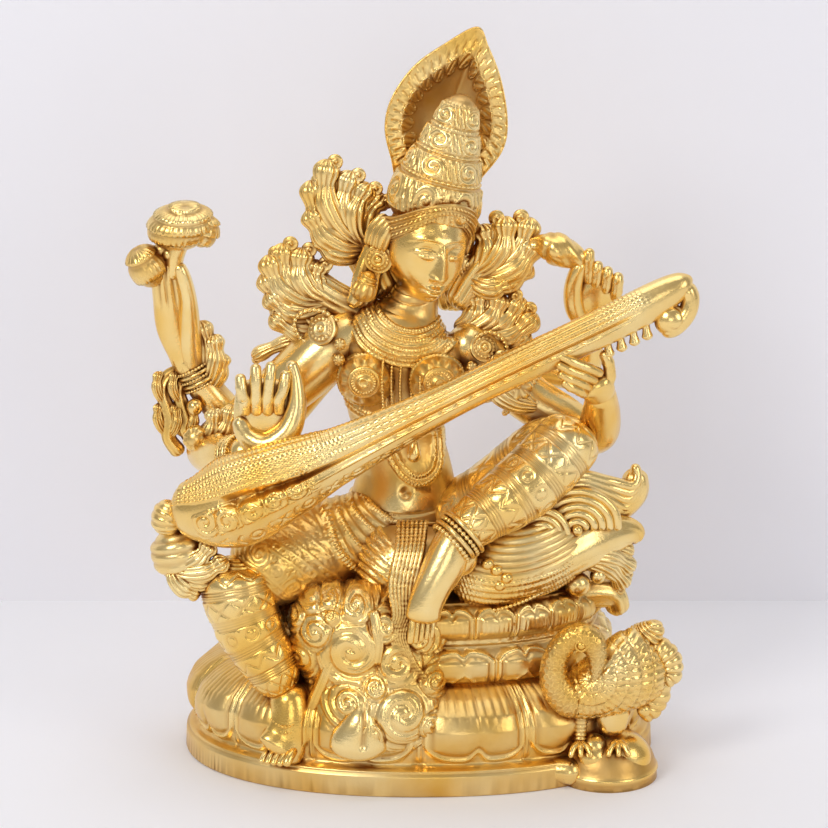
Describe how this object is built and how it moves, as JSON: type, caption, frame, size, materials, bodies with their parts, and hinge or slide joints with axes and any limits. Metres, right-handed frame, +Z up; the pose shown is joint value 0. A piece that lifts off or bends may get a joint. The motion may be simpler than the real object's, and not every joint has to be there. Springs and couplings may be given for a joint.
{
  "type": "seated goddess figure",
  "caption": "Cast brass figure of a many-armed goddess seated on a lotus throne and playing a long-necked lute, with a bird at the front of its oval base.",
  "frame": {"origin": "centre of the oval base's flat underside", "axes": "+Z up, the figure faces -Y, +X to the viewer's right, where the lute's neck ends and the bird stands"},
  "size_m": [0.2324, 0.134, 0.3048],
  "materials": {
    "brass": "bright gold-lacquered cast brass with darker brown recesses"
  },
  "bodies": {
    "root": {"saraswati_figure": "brass"}
  },
  "joints": []
}
